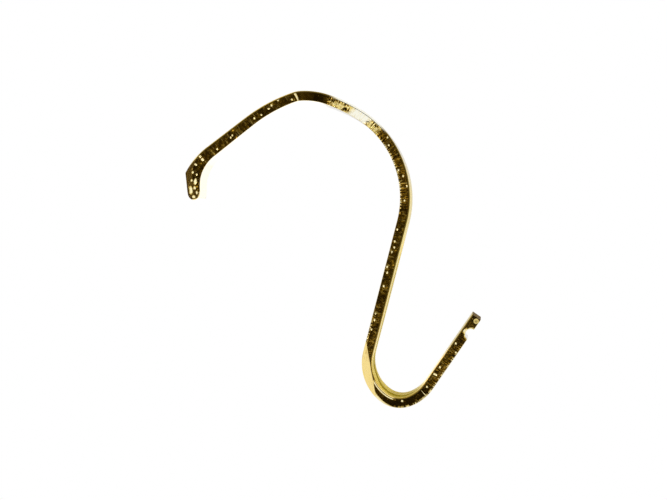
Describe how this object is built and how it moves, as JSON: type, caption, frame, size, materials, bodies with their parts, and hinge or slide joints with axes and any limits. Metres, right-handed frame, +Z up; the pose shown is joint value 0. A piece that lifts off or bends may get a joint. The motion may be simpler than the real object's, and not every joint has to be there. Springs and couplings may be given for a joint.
{
  "type": "picture rail hook",
  "caption": "Flat strip bent into a double hook: the top bend hangs over a picture rail, and the lower hook holds a picture cord.",
  "frame": {"origin": "the rail seat: highest place of the top bend's inner face, half-way across the strip", "axes": "+Z up as it hangs, +X from the wall into the room, +Y along the rail and across the strip"},
  "size_m": [0.0593, 0.0126, 0.0633],
  "materials": {
    "strip": "bright lacquered faces with sheared edges"
  },
  "bodies": {
    "root": {"hook": "strip"}
  },
  "joints": []
}
